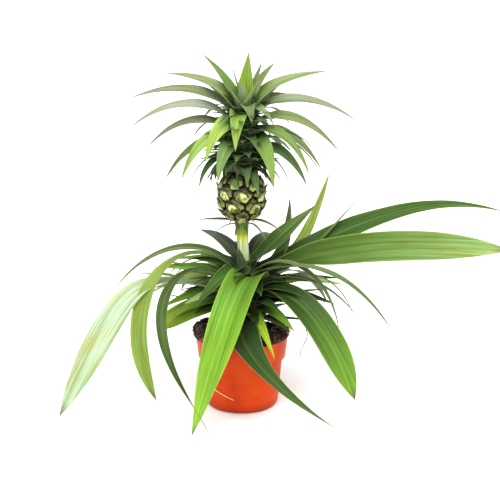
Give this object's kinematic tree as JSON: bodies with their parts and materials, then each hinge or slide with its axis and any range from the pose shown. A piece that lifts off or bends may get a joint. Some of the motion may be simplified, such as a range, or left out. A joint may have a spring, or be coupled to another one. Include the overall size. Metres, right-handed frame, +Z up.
{
  "type": "potted pineapple plant",
  "caption": "Potted pineapple plant: a rosette of long arching strap leaves and a stalk with a small fruit and its leafy crown, growing in a tapered round nursery pot.",
  "frame": {"origin": "centre of the flat pad in the middle of the pot's underside, on the surface it stands on", "axes": "+Z up along the pot's axis; +X to the side where the two longest leaves reach out; -Y to the front, where one broad leaf hangs down over the pot"},
  "size_m": [0.5911, 0.3781, 0.4552],
  "materials": {
    "pot": "moulded terracotta-orange plastic, satin",
    "soil": "dark fibrous peat with fine roots, matt",
    "stem": "green stock under the leaf bases, matt",
    "stalk": "yellow-green fleshy stalk with fine ribs",
    "fruit": "olive and yellow-green fruitlets with dark dry bracts",
    "leaf": "smooth waxy leaf, fine lengthwise ribs, satin",
    "crown_leaf": "smooth waxy leaf with grey scaly bloom, satin"
  },
  "bodies": {
    "root": {"pot": "pot", "soil": "soil", "stem": "stem", "flower_stalk": "stalk", "fruit": "fruit", "crown_stem": "stem", "leaf_front_long": "leaf", "leaf_left_broad": "leaf", "leaf_left_arch": "leaf", "leaf_left_strap": "leaf", "leaf_left_hanging": "leaf", "leaf_left_low": "leaf", "leaf_left_level": "leaf", "leaf_left_back": "leaf", "leaf_left_stub": "leaf", "leaf_back_curl": "leaf", "leaf_right_spear": "leaf", "leaf_back_spear": "leaf", "leaf_back_fold": "leaf", "leaf_back_thin": "leaf", "leaf_right_upper": "leaf", "leaf_right_lower": "leaf", "leaf_right_arch": "leaf", "leaf_right_drop": "leaf", "leaf_right_front": "leaf", "leaf_front_low": "leaf", "leaf_front_short": "leaf", "leaf_right_short": "leaf", "leaf_back_low_a": "leaf", "leaf_back_low_b": "leaf", "leaf_back_low_c": "leaf", "leaf_back_mid": "leaf", "crown_top": "crown_leaf", "crown_up_left": "crown_leaf", "crown_up_right": "crown_leaf", "crown_up_back": "crown_leaf", "crown_l1": "crown_leaf", "crown_l2": "crown_leaf", "crown_l3": "crown_leaf", "crown_l4": "crown_leaf", "crown_l5": "crown_leaf", "crown_l7": "crown_leaf", "crown_fl1": "crown_leaf", "crown_fl2": "crown_leaf", "crown_fl3": "crown_leaf", "crown_f1": "crown_leaf", "crown_f2": "crown_leaf", "crown_fr1": "crown_leaf", "crown_fr2": "crown_leaf", "crown_fr3": "crown_leaf", "crown_r1": "crown_leaf", "crown_r2": "crown_leaf", "crown_r3": "crown_leaf", "crown_r4": "crown_leaf", "crown_r6": "crown_leaf", "crown_r7": "crown_leaf", "crown_b1": "crown_leaf", "crown_b2": "crown_leaf", "crown_b3": "crown_leaf"}
  },
  "joints": []
}
